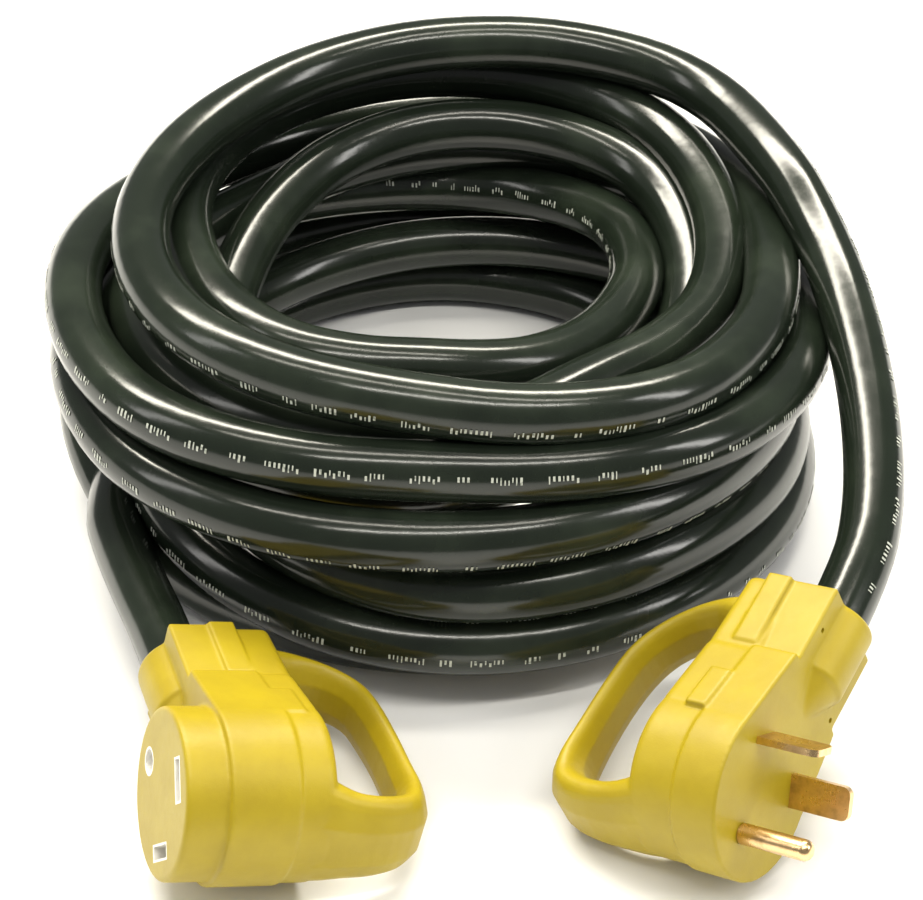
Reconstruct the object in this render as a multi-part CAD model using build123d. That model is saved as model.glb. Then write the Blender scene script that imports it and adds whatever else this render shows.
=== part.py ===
from build123d import *
import math
import os

# A three-core shore power cord: a moulded plug and a moulded connector, each with a strap handle,
# on the two ends of a thick cord that lies in a loose coil. Millimetres, +Z up.
# The origin is on the floor, under the middle of the two heads' bounding box.
# Each head has its own frame: x from the neck towards the far end of the head, y across it,
# z out of its face, with the origin at the middle of the round part, on the slab's face.

# cord
CORD_DIAMETER = 16.5
CORD_RADIUS = CORD_DIAMETER / 2
CORE_DIAMETER = 5.0
CONDUCTOR_DIAMETER = 3.1
CORE_PITCH_RADIUS = 3.1

# where things are: every place below is taken from the middle of the coil
COIL_CENTRE = (-19.5, 148.0, 0.0)

# pin pattern, the same on both heads
BLADE_OFFSET = 11.3
BLADE_TO_GROUND = 21.4
BLADE_WIDTH = 8.8
BLADE_THICKNESS = 1.8
BLADE_LENGTH = 17.0
GROUND_PIN_DIAMETER = 5.4
GROUND_PIN_LENGTH = 20.0
PIN_SHANK_RADIUS = 2.2
PIN_SHANK_TOP = 0.4

# moulded body, the same on both heads
DISC_RADIUS = 22.4
NECK_WIDTH = 28.5
NECK_LENGTH = 23.0
SHOULDER_WIDTH = 36.4
CORD_AXIS_DEPTH = 5.0
COLLAR_RADIUS = 12.0
COLLAR_LENGTH = 30.0
BODY_ROUNDING = 3.0
BARREL_RADIUS = 21.6
BARREL_HEIGHT = 11.0

# strap handle
STRAP_WIDTH = 17.0
STRAP_THICKNESS = 6.0
STRAP_BACK = 55.5
LIMB_THICKNESS = 10.5
STRAP_ROUNDING = 2.4

# pre-moulded inserts that hold the metal parts
PLUG_INSERT_RADIUS = 18.0
PLUG_INSERT_FRONT = -2.5
PLUG_INSERT_BACK = -11.5
CONNECTOR_INSERT_RADIUS = 18.0
CONNECTOR_INSERT_FRONT = 7.5
CONNECTOR_INSERT_BACK = -8.0
CONNECTOR_CAP_THICKNESS = 2.5
SLOT_WIDTH = 10.2
SLOT_THICKNESS = 3.2
SLOT_WALL = 1.1
GROUND_HOLE_RADIUS = 3.1
GROUND_SLEEVE_RADIUS = 3.4
CONTACT_SHEET = 0.7

# crimp barrels behind the pins and the contacts
CRIMP_RADIUS = 2.6
CRIMP_LENGTH = 8.0
CRIMP_DEPTH = -16.5


class HeadForm:
    """Sizes in which the plug and the connector differ, and where each lies."""

    def __init__(self, place, turn, neck_end, rear, parting, mirror, jacket_inside):
        self.place = place
        self.turn = turn
        self.neck_end = neck_end
        self.rear = rear
        self.parting = parting
        self.mirror = mirror
        self.jacket_inside = jacket_inside

    def location(self):
        """Frame of the head in the part's frame."""
        yaw, pitch, roll = self.turn
        middle = Vector(*COIL_CENTRE) + Vector(*self.place)
        return Pos(*tuple(middle)) * Rot(Z=yaw) * Rot(Y=pitch) * Rot(X=roll)

    def along(self, x, y, z):
        """Point of the head's frame, in the part's frame."""
        return (self.location() * Pos(x, y, z)).position


# In order: place and turn of the head's frame, neck's end, thickness, depth of the parting line,
# mirror (1 where the blades lie towards the neck, -1 where they lie towards the far end), and how
# far the cord's jacket runs into the neck.
PLUG = HeadForm((84.1, -166.1, 27.55), (-120.8, 17.6, -75.2), 54.0, 26.5, 12.9, 1, 22.0)
CONNECTOR = HeadForm((-54.9, -167.7, 28.5), (-71.5, -2.75, 74.1), 51.5, 27.8, 17.9, -1, 14.0)

# free stretches of the cord, chosen by hand, from near the neck into the coil
STRAIGHT_OUTSIDE_NECK = 14.0
PLUG_TAIL = [(120, -83, 53), (122, -57, 60), (121, -32, 67), (118, -8, 74), (113, 15, 79), (104, 38, 84)]
CONNECTOR_TAIL = [(-79, -85, 24), (-86, -66, 23), (-92, -46, 23)]

# rings of the coil, from the floor up: middle from the coil's centre, outer half-width and
# half-depth, inner half-width and half-depth, top
COIL_RINGS = [
    (2.0, 4.5, 114.0, 114.5, 78.0, 84.0, 17.0),
    (2.0, 9.0, 115.0, 119.0, 76.0, 82.0, 50.0),
    (6.0, 7.5, 117.5, 117.5, 80.0, 82.0, 80.0),
    (6.0, 6.5, 117.0, 109.5, 78.0, 76.0, 106.0),
]
RING_ROUNDING = 5.0


def box_between(low, high):
    """Box between two opposite corners."""
    size = [b - a for a, b in zip(low, high)]
    middle = [(a + b) / 2 for a, b in zip(low, high)]
    return Pos(*middle) * Box(*size)


def rod_along_x(radius, start, length, y, z):
    """Round bar along x from start."""
    from_end = (Align.CENTER, Align.CENTER, Align.MIN)
    return Pos(start, y, z) * Rot(Y=90) * Cylinder(radius, length, align=from_end)


def rod_along_z(radius, start, length, x, y):
    """Round bar along z from start."""
    return Pos(x, y, start) * Cylinder(radius, length, align=(Align.CENTER, Align.CENTER, Align.MIN))


def rounded(solid, radius, edges):
    """The solid with the chosen edges rounded."""
    return solid.fillet(radius, edges)


def edges_at_height(solid, height):
    """Edges that lie wholly at one height."""
    found = []
    for edge in solid.edges():
        box = edge.bounding_box()
        if abs(box.min.Z - height) < 1e-3 and abs(box.max.Z - height) < 1e-3:
            found.append(edge)
    return found


def corner_radii(points):
    """Largest arcs that the runs on both sides of each corner allow."""
    radii = []
    for before, corner, after in zip(points, points[1:], points[2:]):
        incoming = Vector(*corner) - Vector(*before)
        outgoing = Vector(*after) - Vector(*corner)
        half_turn = math.radians(incoming.get_angle(outgoing)) / 2
        shorter = min(incoming.length, outgoing.length)
        radii.append(0.45 * shorter / math.tan(half_turn))
    return radii


def round_path(points):
    """Straight runs joined by tangent arcs."""
    return FilletPolyline(*points, radius=corner_radii(points))


def tube(points, radius, label):
    """Solid round bar along a path, with its smallest bend and its volume printed."""
    path = round_path(points)
    section = Plane(path @ 0, z_dir=path % 0) * Circle(radius)
    solid = sweep(section, path=path)
    expected = math.pi * radius ** 2 * path.length
    print(label, "length", round(path.length, 1), "volume / expected", round(solid.volume / expected, 4))
    print(label, "radii", [round(radius_mm) for radius_mm in corner_radii(points)])
    return solid


def slab(form):
    """Neck, shoulders and round part, as one block with rounded rims."""
    neck_join = NECK_LENGTH - form.neck_end
    thickness = form.rear
    disc = rod_along_z(DISC_RADIUS, -thickness, thickness, 0, 0)
    neck = box_between((-form.neck_end, -NECK_WIDTH / 2, -thickness), (neck_join, NECK_WIDTH / 2, 0))
    half = SHOULDER_WIDTH / 2
    touch = math.sqrt(DISC_RADIUS ** 2 - 6.0 ** 2)
    outline = Polyline((neck_join, -half), (-6.0, -touch), (-6.0, touch), (neck_join, half), close=True)
    shoulders = Pos(0, 0, -thickness) * extrude(make_face(outline), thickness)
    body = disc + neck + shoulders
    rims = edges_at_height(body, 0) + edges_at_height(body, -thickness)
    return rounded(body, BODY_ROUNDING, rims)


def collar(form):
    """Half-round sleeve over the cord on the face side of the neck, cut off at a slant."""
    sleeve = rod_along_x(COLLAR_RADIUS, -form.neck_end, COLLAR_LENGTH, 0, -CORD_AXIS_DEPTH)
    slant = Pos(-form.neck_end + COLLAR_LENGTH, 0, COLLAR_RADIUS) * Rot(Y=-38) * Box(20, 40, 60)
    return sleeve - slant


def strap(form):
    """Flat strap that leaves the neck's back, runs behind the body and returns at the far end."""
    start = 6.0 - form.neck_end
    inside = -form.rear + 6.0
    far = DISC_RADIUS
    back = -STRAP_BACK
    front = back + STRAP_THICKNESS
    outer = [(start, inside), (start, -38.0), (start + 8.0, -49.0), (start + 20.0, back),
             (far - 13.0, back), (far - 2.5, back + 6.0), (far, back + 17.0), (far, inside)]
    limb = far - LIMB_THICKNESS
    inner = [(limb, inside), (limb, -44.0), (limb - 6.0, front), (start + 21.5, front),
             (start + 13.0, -44.5), (start + 7.0, -36.5), (start + 7.0, inside)]
    outline = Plane.XZ * make_face(Polyline(*(outer + inner), close=True))
    band = Pos(0, STRAP_WIDTH / 2, 0) * extrude(outline, STRAP_WIDTH)
    flat_rims = [edge for edge in band.edges()
                 if abs(abs(edge.center().Y) - STRAP_WIDTH / 2) < 1e-3 and edge.center().Z < inside - 1.0]
    return rounded(band, STRAP_ROUNDING, flat_rims)


def neck_pad(form, side):
    """Thin raised pad on one flank of the body."""
    reach = SHOULDER_WIDTH / 2 + 1.6
    depth = -form.parting
    low = (NECK_LENGTH - form.neck_end + 2.0, min(side * 12.0, side * reach), depth - 3.0)
    high = (NECK_LENGTH - form.neck_end + 14.0, max(side * 12.0, side * reach), depth + 3.0)
    return box_between(low, high)


def blade_centres(form):
    """Middles of the two blades, with the angle of each blade's long side."""
    x = -8.6 * form.mirror
    return [(x, BLADE_OFFSET, 45.0 * form.mirror), (x, -BLADE_OFFSET, -45.0 * form.mirror)]


def ground_x(form):
    """Where the ground pin stands, along the head."""
    return (BLADE_TO_GROUND - 8.6) * form.mirror


def crimp_ends(form):
    """Open ends of the three crimp barrels, in the order line, neutral, ground."""
    blade_x = -8.6 * form.mirror - 3.0
    return [(blade_x, BLADE_OFFSET), (blade_x, -BLADE_OFFSET), (ground_x(form) - 3.5, 0.0)]


def crimp_barrel(x, y):
    """Round barrel that closes on a core's bared end; its mouth faces the neck."""
    shell = rod_along_x(CRIMP_RADIUS, x - CRIMP_LENGTH, CRIMP_LENGTH, y, CRIMP_DEPTH)
    hole = rod_along_x(CONDUCTOR_DIAMETER / 2, x - CRIMP_LENGTH, CRIMP_LENGTH - 1.0, y, CRIMP_DEPTH)
    return shell - hole


def blade(x, y, angle):
    """Flat blade with rounded free corners, its root and its crimp barrel."""
    length = BLADE_LENGTH - PLUG_INSERT_BACK
    bar = Pos(x, y, PLUG_INSERT_BACK) * Rot(Z=angle) * Box(
        BLADE_WIDTH, BLADE_THICKNESS, length, align=(Align.CENTER, Align.CENTER, Align.MIN))
    corners = [edge for edge in bar.edges()
               if edge.center().Z > BLADE_LENGTH - 0.01
               and edge.length < BLADE_THICKNESS + 0.01]
    bar = rounded(bar, 2.2, corners)
    crimp_x = x - 3.0
    post = box_between((crimp_x - 1.6, y - 1.6, CRIMP_DEPTH), (x + 1.6, y + 1.6, PLUG_INSERT_BACK))
    hole = rod_along_x(CONDUCTOR_DIAMETER / 2, crimp_x - CRIMP_LENGTH, CRIMP_LENGTH - 1.0, y, CRIMP_DEPTH)
    return bar + post + crimp_barrel(crimp_x, y) - hole


def ground_pin(form):
    """Round pin with a rounded nose, its thinner shank and its crimp barrel."""
    x = ground_x(form)
    radius = GROUND_PIN_DIAMETER / 2
    pin = rod_along_z(radius, PIN_SHANK_TOP, GROUND_PIN_LENGTH - PIN_SHANK_TOP, x, 0)
    pin = rounded(pin, radius - 0.5, edges_at_height(pin, GROUND_PIN_LENGTH))
    pin = pin + rod_along_z(PIN_SHANK_RADIUS, PLUG_INSERT_BACK, PIN_SHANK_TOP - PLUG_INSERT_BACK, x, 0)
    crimp_x = x - 3.5
    post = box_between((crimp_x - 1.6, -1.6, CRIMP_DEPTH), (x + 1.6, 1.6, PLUG_INSERT_BACK))
    hole = rod_along_x(CONDUCTOR_DIAMETER / 2, crimp_x - CRIMP_LENGTH, CRIMP_LENGTH - 1.0, 0, CRIMP_DEPTH)
    return pin + post + crimp_barrel(crimp_x, 0) - hole


def plug_insert(pins):
    """Hard round block that holds the three pins at their spacing."""
    thickness = PLUG_INSERT_FRONT - PLUG_INSERT_BACK
    block = rod_along_z(PLUG_INSERT_RADIUS, PLUG_INSERT_BACK, thickness, 0, 0)
    for pin in pins:
        block = block - pin
    return block


def slot_block(form, grow, low, high):
    """The three openings as solids, each larger all round by grow."""
    solids = []
    for x, y, angle in blade_centres(form):
        slot = Pos(x, y, low) * Rot(Z=angle) * Box(
            SLOT_WIDTH + 2 * grow, SLOT_THICKNESS + 2 * grow, high - low,
            align=(Align.CENTER, Align.CENTER, Align.MIN))
        solids.append(slot)
    solids.append(rod_along_z(GROUND_HOLE_RADIUS + grow, low, high - low, ground_x(form), 0))
    return solids


def openings(form):
    """The three openings through the insert, and the wider room for the ground sleeve."""
    depth = -CONNECTOR_INSERT_BACK
    sleeve_room = rod_along_z(GROUND_SLEEVE_RADIUS, CONNECTOR_INSERT_BACK, depth, ground_x(form), 0)
    return slot_block(form, 0, CONNECTOR_INSERT_BACK, BARREL_HEIGHT) + [sleeve_room]


def connector_insert(form):
    """Pale block with three collars that reach the face and line the openings."""
    height = CONNECTOR_INSERT_FRONT - CONNECTOR_INSERT_BACK
    block = rod_along_z(CONNECTOR_INSERT_RADIUS, CONNECTOR_INSERT_BACK, height, 0, 0)
    for lining in slot_block(form, SLOT_WALL, CONNECTOR_INSERT_FRONT, BARREL_HEIGHT):
        block = block + lining
    for opening in openings(form):
        block = block - opening
    return block


def connector_cap(contacts):
    """Thin plate that closes the back of the contact pockets."""
    low = CONNECTOR_INSERT_BACK - CONNECTOR_CAP_THICKNESS
    plate = rod_along_z(CONNECTOR_INSERT_RADIUS, low, CONNECTOR_CAP_THICKNESS, 0, 0)
    for contact in contacts:
        plate = plate - contact
    return plate


def contact_stem(x, y, crimp_x):
    """Post through the cap and the crimp barrel behind it."""
    post = box_between((crimp_x - 1.4, y - 1.4, CRIMP_DEPTH), (x + 1.4, y + 1.4, CONNECTOR_INSERT_BACK))
    hole = rod_along_x(CONDUCTOR_DIAMETER / 2, crimp_x - CRIMP_LENGTH, CRIMP_LENGTH - 1.0, y, CRIMP_DEPTH)
    return post + crimp_barrel(crimp_x, y) - hole


def blade_contact(x, y, angle):
    """Folded spring clip: a base and two leaves on the long walls of its slot."""
    leaf_height = 12.0
    lean = (SLOT_THICKNESS - CONTACT_SHEET) / 2
    base = Box(SLOT_WIDTH, SLOT_THICKNESS, CONTACT_SHEET, align=(Align.CENTER, Align.CENTER, Align.MIN))
    clip = base
    for side in (-1, 1):
        clip = clip + Pos(0, side * lean, 0) * Box(
            SLOT_WIDTH - 1.5, CONTACT_SHEET, leaf_height, align=(Align.CENTER, Align.CENTER, Align.MIN))
    clip = Pos(x, y, CONNECTOR_INSERT_BACK) * Rot(Z=angle) * clip
    return clip + contact_stem(x, y, x - 3.0)


def ground_contact(form):
    """Split sleeve that grips the ground pin."""
    x = ground_x(form)
    height = -CONNECTOR_INSERT_BACK
    shell = rod_along_z(GROUND_SLEEVE_RADIUS, CONNECTOR_INSERT_BACK, height, x, 0)
    inside = rod_along_z(GROUND_PIN_DIAMETER / 2, CONNECTOR_INSERT_BACK + CONTACT_SHEET, height, x, 0)
    split = box_between((x, -0.5, CONNECTOR_INSERT_BACK + CONTACT_SHEET), (x + 4.0, 0.5, 1.0))
    return shell - inside - split + contact_stem(x, 0, x - 3.5)


def core_route(form, index):
    """Middle line of one core, from the cord's cut end down to its depth and on to its crimp barrel."""
    angle = math.radians((60.0, 300.0, 180.0)[index])
    start_x = -form.neck_end + form.jacket_inside
    y0 = CORE_PITCH_RADIUS * math.sin(angle)
    z0 = -CORD_AXIS_DEPTH + CORE_PITCH_RADIUS * math.cos(angle)
    x1, y1 = crimp_ends(form)[index]
    mouth = x1 - CRIMP_LENGTH
    lead = 2.5 if y1 == 0.0 else 3.5
    down_x = start_x + 10.0
    route = [(start_x, y0, z0), (start_x + lead, y0, z0)]
    if mouth - down_x > 8.0:
        route.append((down_x, 0.8 * y1, CRIMP_DEPTH))
    if y1 != 0.0 or mouth - down_x <= 8.0:
        route.append((mouth - 2.5, y1, CRIMP_DEPTH))
    route.append((mouth, y1, CRIMP_DEPTH))
    return route


def core_parts(form, index):
    """Insulation and copper of one core; the copper runs on into the crimp barrel."""
    route = core_route(form, index)
    end = route[-1]
    bare = route[:-1] + [(end[0] + CRIMP_LENGTH - 1.0, end[1], end[2])]
    path = FilletPolyline(*route, radius=2.8)
    bare_path = FilletPolyline(*bare, radius=2.8)
    start = Plane(path @ 0, z_dir=path % 0)
    jacket = sweep(start * Circle(CORE_DIAMETER / 2), path=path)
    copper = sweep(start * Circle(CONDUCTOR_DIAMETER / 2), path=bare_path)
    return jacket - copper, copper


def jacket_socket(form):
    """The cord's cut end inside the head."""
    return rod_along_x(CORD_RADIUS, -form.neck_end, form.jacket_inside, 0, -CORD_AXIS_DEPTH)


def moulding(form, insides, barrel):
    """Outer moulding with exact room for everything that it is cast around."""
    body = slab(form) + collar(form) + strap(form) + neck_pad(form, -form.mirror)
    if barrel:
        front = rod_along_z(BARREL_RADIUS, -BODY_ROUNDING, BARREL_HEIGHT + BODY_ROUNDING, 0, 0)
        body = body + rounded(front, 1.2, edges_at_height(front, BARREL_HEIGHT))
        for opening in openings(form):
            body = body - opening
    body = body - jacket_socket(form)
    for inside in insides:
        body = body - inside
    return body


def write(name, solid, form=None):
    """Save one node, moved to its head's place if it belongs to a head."""
    placed = form.location() * solid if form else solid
    export_step(placed, os.path.join("parts", name + ".step"))


def make_plug():
    """Every piece of the plug."""
    names = ["line", "neutral", "ground"]
    pins = [blade(*centre) for centre in blade_centres(PLUG)] + [ground_pin(PLUG)]
    insert = plug_insert(pins)
    insides = pins + [insert]
    for index, name in enumerate(names):
        core, copper = core_parts(PLUG, index)
        insides += [core, copper]
        write("plug_" + name + "_core", core, PLUG)
        write("plug_" + name + "_conductor", copper, PLUG)
    write("plug_line_blade", pins[0], PLUG)
    write("plug_neutral_blade", pins[1], PLUG)
    write("plug_ground_pin", pins[2], PLUG)
    write("plug_insert", insert, PLUG)
    write("plug_moulding", moulding(PLUG, insides, False), PLUG)


def make_connector():
    """Every piece of the connector."""
    names = ["line", "neutral", "ground"]
    contacts = [blade_contact(*centre) for centre in blade_centres(CONNECTOR)] + [ground_contact(CONNECTOR)]
    insert = connector_insert(CONNECTOR)
    cap = connector_cap(contacts)
    insides = contacts + [insert, cap]
    for index, name in enumerate(names):
        core, copper = core_parts(CONNECTOR, index)
        insides += [core, copper]
        write("connector_" + name + "_core", core, CONNECTOR)
        write("connector_" + name + "_conductor", copper, CONNECTOR)
        write("connector_" + name + "_contact", contacts[index], CONNECTOR)
    write("connector_insert", insert, CONNECTOR)
    write("connector_insert_cap", cap, CONNECTOR)
    write("connector_moulding", moulding(CONNECTOR, insides, True), CONNECTOR)


def coil():
    """Outer shape of the coil: rings stacked from the floor up."""
    stack = None
    low = 0.0
    for x, y, outer_x, outer_y, inner_x, inner_y, high in COIL_RINGS:
        ring = extrude(Ellipse(outer_x, outer_y) - Ellipse(inner_x, inner_y), high - low)
        ring = rounded(ring, RING_ROUNDING, ring.edges())
        ring = Pos(x, y, low) * ring
        stack = ring if stack is None else stack + ring
        low = high - 2 * RING_ROUNDING
    return Pos(*COIL_CENTRE) * stack


def tail(form, points, label):
    """Free stretch of the cord from inside the head to the coil."""
    cut_end = form.along(-form.neck_end + form.jacket_inside, 0, -CORD_AXIS_DEPTH)
    outside = form.along(-form.neck_end - STRAIGHT_OUTSIDE_NECK, 0, -CORD_AXIS_DEPTH)
    route = [tuple(cut_end), tuple(outside)]
    for point in points:
        route.append(tuple(Vector(*COIL_CENTRE) + Vector(*point)))
    return tube(route, CORD_RADIUS, label)


def make_cord():
    """The cord's own solids."""
    write("cord_coil", coil())
    write("cord_plug_tail", tail(PLUG, PLUG_TAIL, "cord_plug_tail"))
    write("cord_connector_tail", tail(CONNECTOR, CONNECTOR_TAIL, "cord_connector_tail"))


os.makedirs("parts", exist_ok=True)
make_plug()
make_connector()
make_cord()
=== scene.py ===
"""Shore power cord: a moulded plug and a moulded connector on a thick cord in a loose coil.

Lengths are in metres unless a name ends in _mm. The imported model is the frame: its hidden pieces are
dressed where they are, the cord is one smooth curve, and both heads' mouldings are modelled here.
"""
import logging
import math
from dataclasses import dataclass, field
from enum import Enum
from typing import ClassVar

import bpy
import numpy as np
from mathutils import Matrix, Vector


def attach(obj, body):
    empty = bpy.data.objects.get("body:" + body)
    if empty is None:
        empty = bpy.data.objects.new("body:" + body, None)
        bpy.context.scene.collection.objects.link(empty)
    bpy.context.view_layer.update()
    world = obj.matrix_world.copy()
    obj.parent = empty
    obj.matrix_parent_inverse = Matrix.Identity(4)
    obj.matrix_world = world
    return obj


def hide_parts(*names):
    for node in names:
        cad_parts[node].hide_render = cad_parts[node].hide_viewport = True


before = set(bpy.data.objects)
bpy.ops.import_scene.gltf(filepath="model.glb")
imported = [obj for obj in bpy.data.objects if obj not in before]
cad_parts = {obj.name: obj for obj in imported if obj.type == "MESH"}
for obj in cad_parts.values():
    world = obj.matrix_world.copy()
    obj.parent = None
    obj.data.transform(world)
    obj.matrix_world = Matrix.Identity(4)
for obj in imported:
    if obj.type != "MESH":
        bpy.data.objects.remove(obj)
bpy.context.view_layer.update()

MM = 0.001
LOG = logging.getLogger("shore_power_cord")

Colour = tuple[float, float, float]
Place = tuple[float, float, float]

# sockets of a colour Mix node, which share their names with its other data types
MIX_AMOUNT = 0
MIX_FIRST = 6
MIX_SECOND = 7
MIX_RESULT = 2


# ---- shader building ----


class Wire:
    """One output of a shader node, with arithmetic that adds Math nodes."""

    def __init__(self, graph: "Graph", socket: bpy.types.NodeSocket) -> None:
        """Wrap a socket of a graph."""
        self.graph = graph
        self.socket = socket

    def _math(self, operation: str, first: object, second: object) -> "Wire":
        """Add one Math node.

        Args:
            operation: Blender's name of the operation.
            first: left value, a wire or a number.
            second: right value, a wire or a number.

        Returns:
            The node's output.
        """
        return self.graph.node("ShaderNodeMath", {"operation": operation}, {0: first, 1: second})

    def __add__(self, other: object) -> "Wire":
        """Sum."""
        return self._math("ADD", self, other)

    def __radd__(self, other: object) -> "Wire":
        """Sum with the number on the left."""
        return self._math("ADD", other, self)

    def __sub__(self, other: object) -> "Wire":
        """Difference."""
        return self._math("SUBTRACT", self, other)

    def __rsub__(self, other: object) -> "Wire":
        """Difference with the number on the left."""
        return self._math("SUBTRACT", other, self)

    def __mul__(self, other: object) -> "Wire":
        """Product."""
        return self._math("MULTIPLY", self, other)

    def __rmul__(self, other: object) -> "Wire":
        """Product with the number on the left."""
        return self._math("MULTIPLY", other, self)

    def ramp(self, low: float, high: float) -> "Wire":
        """Smooth step of this value.

        Args:
            low: where it is 0.
            high: where it is 1.

        Returns:
            The step's value.
        """
        settings = {"interpolation_type": "SMOOTHSTEP"}
        inputs = {"Value": self, "From Min": low, "From Max": high}
        return self.graph.node("ShaderNodeMapRange", settings, inputs)


class Graph:
    """Node tree of a material or a world, with the shader that it ends in."""

    def __init__(self, owner: bpy.types.ID, shader: str = "Principled BSDF") -> None:
        """Start from a new material's or world's own shader.

        Args:
            owner: the material or world.
            shader: name of the shader's node.
        """
        owner.use_nodes = True
        self.owner = owner
        self.tree = owner.node_tree
        self.shader = self.tree.nodes[shader]

    def _set(self, socket: bpy.types.NodeSocket, value: object) -> None:
        """Fill a socket.

        Args:
            socket: the socket.
            value: a wire to link, or a constant.
        """
        if isinstance(value, Wire):
            self.tree.links.new(value.socket, socket)
        else:
            socket.default_value = value

    def node(self, kind: str, settings: dict, inputs: dict, output: object = 0) -> Wire:
        """Add one node.

        Args:
            kind: the node's type.
            settings: its properties, set before its sockets.
            inputs: socket name or number to a wire or a constant.
            output: name or number of the output that is returned.

        Returns:
            That output as a wire.
        """
        made = self.tree.nodes.new(kind)
        for key, value in settings.items():
            setattr(made, key, value)
        for key, value in inputs.items():
            self._set(made.inputs[key], value)
        return Wire(self, made.outputs[output])

    def place(self) -> Wire:
        """Object coordinates."""
        return self.node("ShaderNodeTexCoord", {}, {}, "Object")

    def noise(self, scale: float, detail: float = 3.0, rough: float = 0.5) -> Wire:
        """Noise over the piece.

        Args:
            scale: spots per metre.
            detail: octaves.
            rough: weight of the finer octaves.

        Returns:
            The noise value.
        """
        inputs = {"Vector": self.place(), "Scale": scale, "Detail": detail, "Roughness": rough}
        return self.node("ShaderNodeTexNoise", {}, inputs)

    def mix(self, amount: Wire, first: Colour | Wire, second: Colour | Wire) -> Wire:
        """Blend of two colours.

        Args:
            amount: 0 for the first colour, 1 for the second.
            first: colour or wire.
            second: colour or wire.

        Returns:
            The blended colour.
        """
        start, end = (
            colour if isinstance(colour, Wire) else (*colour, 1.0) for colour in (first, second)
        )
        inputs = {MIX_AMOUNT: amount, MIX_FIRST: start, MIX_SECOND: end}
        return self.node("ShaderNodeMix", {"data_type": "RGBA"}, inputs, MIX_RESULT)

    def bump(self, height: Wire, strength: float, distance: float) -> Wire:
        """Normal bent by a height map.

        Args:
            height: the height, from 0 to 1.
            strength: share of the bump that counts.
            distance: height of a full step, in metres.

        Returns:
            The bent normal.
        """
        inputs = {"Height": height, "Strength": strength, "Distance": distance}
        return self.node("ShaderNodeBump", {}, inputs)

    def finish(self, **sockets: object) -> bpy.types.ID:
        """Set the shader's sockets by name, with _ for a blank.

        Args:
            sockets: socket name to wire or constant.

        Returns:
            The finished material or world.
        """
        for key, value in sockets.items():
            self._set(self.shader.inputs[key.replace("_", " ")], value)
        return self.owner


def new_material(name: str) -> Graph:
    """Graph of a new material."""
    return Graph(bpy.data.materials.new(name))


# ---- finishes ----


@dataclass(frozen=True)
class MouldedVinyl:
    """Satin soft vinyl with faint mottling, as it comes from the mould."""

    name: str = "moulded_vinyl"
    light: Colour = (0.36, 0.270, 0.0065)
    deep: Colour = (0.285, 0.205, 0.0042)
    roughness: float = 0.42

    def build(self) -> bpy.types.Material:
        """Make the material.

        Returns:
            The material.
        """
        graph = new_material(self.name)
        clouds = graph.noise(70.0, 4.0, 0.6)
        specks = graph.noise(900.0, 2.0, 0.5)
        colour = graph.mix(clouds.ramp(0.30, 0.72) * 0.55, self.light, self.deep)
        colour = graph.mix(specks.ramp(0.60, 0.78) * 0.18, colour, self.deep)
        grain = graph.noise(2600.0, 3.0, 0.6)
        waves = graph.noise(160.0, 2.0, 0.5)
        normal = graph.bump(grain * 0.5 + waves * 1.6, 0.25, 0.0003)
        rough = self.roughness + clouds * 0.10 - 0.05 + specks * 0.04
        return graph.finish(Base_Color=colour, Roughness=rough, Normal=normal, IOR=1.43,
                            Subsurface_Weight=0.03, Subsurface_Radius=(0.003, 0.0015, 0.0004))


@dataclass(frozen=True)
class CordJacket:
    """Glossy dark vinyl jacket with faint draw lines and handling haze."""

    name: str = "cord_jacket"
    dark: Colour = (0.0085, 0.0125, 0.0080)
    hazy: Colour = (0.0180, 0.0250, 0.0160)
    dusty: Colour = (0.05, 0.06, 0.045)
    roughness: float = 0.15

    def build(self) -> bpy.types.Material:
        """Make the material.

        Returns:
            The material.
        """
        graph = new_material(self.name)
        haze = graph.noise(28.0, 4.0, 0.6)
        dust = graph.noise(1200.0, 2.0, 0.6)
        colour = graph.mix(haze.ramp(0.40, 0.75), self.dark, self.hazy)
        colour = graph.mix(dust.ramp(0.68, 0.80) * 0.25, colour, self.dusty)
        ripple = graph.noise(120.0, 3.0, 0.5)
        fine = graph.noise(2200.0, 2.0, 0.5)
        normal = graph.bump(ripple * 0.4 + fine * 0.04, 0.30, 0.0006)
        rough = self.roughness + haze * 0.10 - 0.04 + dust * 0.04
        return graph.finish(Base_Color=colour, Roughness=rough, Normal=normal, IOR=1.47)


@dataclass(frozen=True)
class PrintInk:
    """Pale printing ink, slightly worn."""

    name: str = "print_ink"
    pale: Colour = (0.46, 0.48, 0.42)
    worn: Colour = (0.14, 0.16, 0.13)

    def build(self) -> bpy.types.Material:
        """Make the material.

        Returns:
            The material.
        """
        graph = new_material(self.name)
        wear = graph.noise(900.0, 3.0, 0.6)
        colour = graph.mix(wear.ramp(0.48, 0.70), self.pale, self.worn)
        return graph.finish(Base_Color=colour, Roughness=0.45 + wear * 0.1, IOR=1.45)


@dataclass(frozen=True)
class DrawnBrass:
    """Plain brass strip and rod with fine draw marks and a little tarnish."""

    name: str = "drawn_brass"
    bright: Colour = (0.78, 0.54, 0.28)
    tarnish: Colour = (0.42, 0.26, 0.12)
    roughness: float = 0.24

    def build(self) -> bpy.types.Material:
        """Make the material.

        Returns:
            The material.
        """
        graph = new_material(self.name)
        stain = graph.noise(220.0, 4.0, 0.6)
        marks = graph.noise(1800.0, 3.0, 0.6)
        colour = graph.mix(stain.ramp(0.45, 0.75) * 0.7, self.bright, self.tarnish)
        normal = graph.bump(marks, 0.20, 0.0002)
        rough = self.roughness + stain * 0.22 - 0.06
        return graph.finish(Base_Color=colour, Roughness=rough, Normal=normal, Metallic=1.0)


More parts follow.
